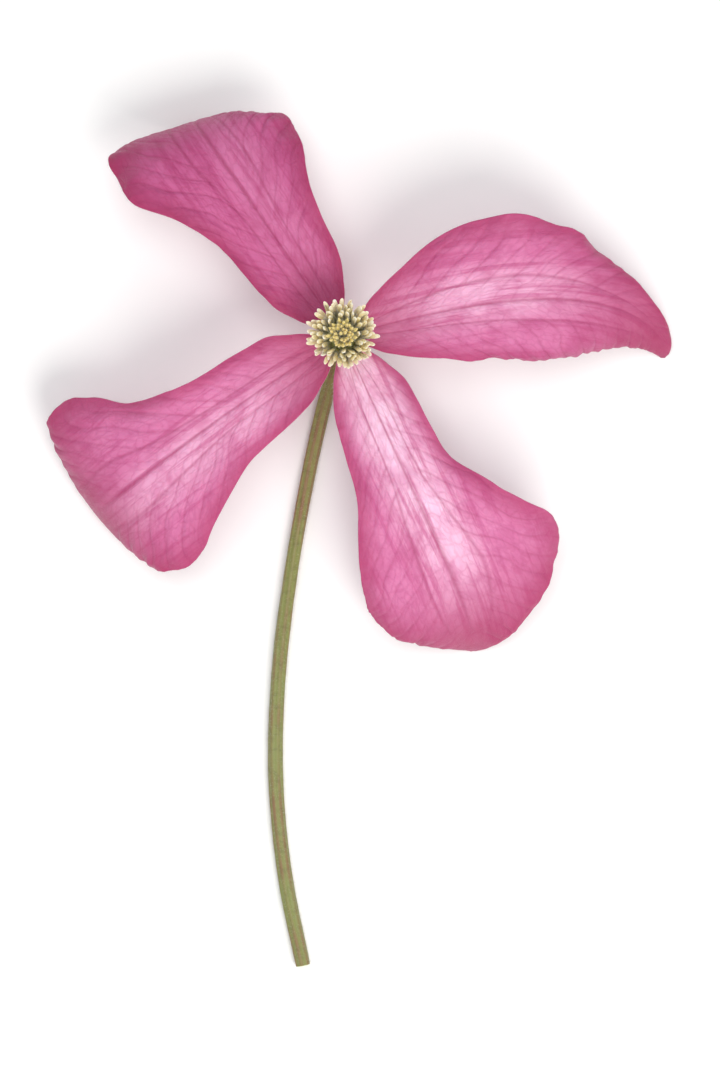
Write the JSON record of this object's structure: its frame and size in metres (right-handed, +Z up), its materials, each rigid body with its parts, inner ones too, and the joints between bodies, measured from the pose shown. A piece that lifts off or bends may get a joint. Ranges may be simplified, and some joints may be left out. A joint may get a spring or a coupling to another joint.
{
  "type": "clematis flower",
  "caption": "Cut clematis bloom lying face up: arched pink tepals round a tuft of pale stamens and green styles, on a thin stem that bends under it and trails along the surface.",
  "frame": {"origin": "centre of the flower's footprint box, on the surface that it lies on", "axes": "+Z up, the way the bloom faces; the cut stem trails towards -Y"},
  "size_m": [0.0688, 0.094, 0.0176],
  "materials": {
    "tepal": "satin",
    "stamen": "matt",
    "style": "matt",
    "stem": "satin"
  },
  "bodies": {
    "root": {"tepal_upper_left": "tepal", "tepal_right": "tepal", "tepal_lower_right": "tepal", "tepal_lower_left": "tepal", "stamens": "stamen", "pistil": "style", "pedicel": "stem"}
  },
  "joints": []
}
